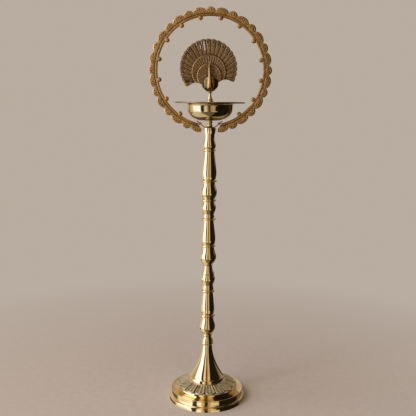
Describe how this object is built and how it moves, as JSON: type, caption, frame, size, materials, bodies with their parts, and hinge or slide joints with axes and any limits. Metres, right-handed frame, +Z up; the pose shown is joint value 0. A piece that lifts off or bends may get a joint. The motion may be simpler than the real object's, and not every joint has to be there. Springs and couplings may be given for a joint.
{
  "type": "standing oil lamp",
  "caption": "Tall brass standing oil lamp: stepped foot, turned stem in screwed sections, broad-brimmed oil bowl, peacock finial and a scalloped halo ring around it.",
  "frame": {"origin": "middle of the foot's underside, on the surface that the lamp stands on", "axes": "+Z up along the stem, -Y the side that the bird faces, +X to the right of someone looking at the bird"},
  "size_m": [0.278, 0.18, 0.915],
  "materials": {
    "polished_brass": "mirror-polished yellow brass with fine turning lines and faint handling marks",
    "cast_brass": "cast brass petals, high points rubbed bright and dull dark grooves",
    "halo_brass": "sand-cast golden-brown brass, satin on the high points and dark in the ribs",
    "aged_bronze": "dark antiqued brass with worn brighter edges on the feathers",
    "rubbed_brass": "antiqued brass rubbed bright on the neck and breast",
    "turned_brass": "plain machined brass thread, unpolished",
    "steel": "zinc-plated steel fastener, slightly dull"
  },
  "bodies": {
    "base": {"base_drum": "polished_brass", "lotus_disc": "cast_brass", "base_trumpet": "polished_brass", "tie_rod": "steel", "tie_washer": "steel", "tie_nut": "steel"},
    "lower_stud": {"stud_lower": "turned_brass"},
    "stem_lower": {"stem_lower": "polished_brass"},
    "middle_stud": {"stud_middle": "turned_brass"},
    "stem_middle": {"stem_middle": "polished_brass"},
    "upper_stud": {"stud_upper": "turned_brass"},
    "stem_upper": {"stem_upper": "polished_brass"},
    "halo": {"halo_strap": "halo_brass", "halo_ring": "halo_brass", "halo_screw_right": "turned_brass", "halo_screw_left": "turned_brass"},
    "bowl_stud": {"bowl_stud": "turned_brass"},
    "bowl": {"bowl_neck": "polished_brass", "oil_bowl": "polished_brass", "bowl_boss": "polished_brass"},
    "finial_stud": {"finial_stud": "turned_brass"},
    "finial": {"finial_stalk": "polished_brass", "peacock_body": "rubbed_brass", "tail_fan": "aged_bronze", "tail_screw": "turned_brass"}
  },
  "joints": [
    {"name": "stem_lower_rise", "type": "slide", "parent": "base", "child": "lower_stud", "axis": [0, 0, 1], "range_m": [0, 0.009]},
    {"name": "stem_lower_turn", "type": "hinge", "parent": "lower_stud", "child": "stem_lower", "pos_m": [0, 0, 0.153], "axis": [0, 0, 1], "range_deg": [0, 2162]},
    {"name": "stem_middle_rise", "type": "slide", "parent": "stem_lower", "child": "middle_stud", "axis": [0, 0, 1], "range_m": [0, 0.009]},
    {"name": "stem_middle_turn", "type": "hinge", "parent": "middle_stud", "child": "stem_middle", "pos_m": [0, 0, 0.326], "axis": [0, 0, 1], "range_deg": [0, 2162]},
    {"name": "stem_upper_rise", "type": "slide", "parent": "stem_middle", "child": "upper_stud", "axis": [0, 0, 1], "range_m": [0, 0.009]},
    {"name": "stem_upper_turn", "type": "hinge", "parent": "upper_stud", "child": "stem_upper", "pos_m": [0, 0, 0.4844], "axis": [0, 0, 1], "range_deg": [0, 2162]},
    {"name": "halo_swivel", "type": "hinge", "parent": "stem_upper", "child": "halo", "pos_m": [0, 0, 0.6493], "axis": [0, 0, 1], "continuous": true},
    {"name": "bowl_rise", "type": "slide", "parent": "stem_upper", "child": "bowl_stud", "axis": [0, 0, 1], "range_m": [0, 0.009]},
    {"name": "bowl_turn", "type": "hinge", "parent": "bowl_stud", "child": "bowl", "pos_m": [0, 0, 0.6506], "axis": [0, 0, 1], "range_deg": [0, 3242]},
    {"name": "finial_rise", "type": "slide", "parent": "bowl", "child": "finial_stud", "axis": [0, 0, 1], "range_m": [0, 0.009]},
    {"name": "finial_turn", "type": "hinge", "parent": "finial_stud", "child": "finial", "pos_m": [0, 0, 0.699], "axis": [0, 0, 1], "range_deg": [0, 3242]}
  ],
  "couplings": [
    {"joint": "stem_lower_turn", "follows": "stem_lower_rise", "rad_per_m": 4188.8},
    {"joint": "stem_middle_turn", "follows": "stem_middle_rise", "rad_per_m": 4188.8},
    {"joint": "stem_upper_turn", "follows": "stem_upper_rise", "rad_per_m": 4188.8},
    {"joint": "bowl_turn", "follows": "bowl_rise", "rad_per_m": 6283.2},
    {"joint": "finial_turn", "follows": "finial_rise", "rad_per_m": 6283.2}
  ]
}
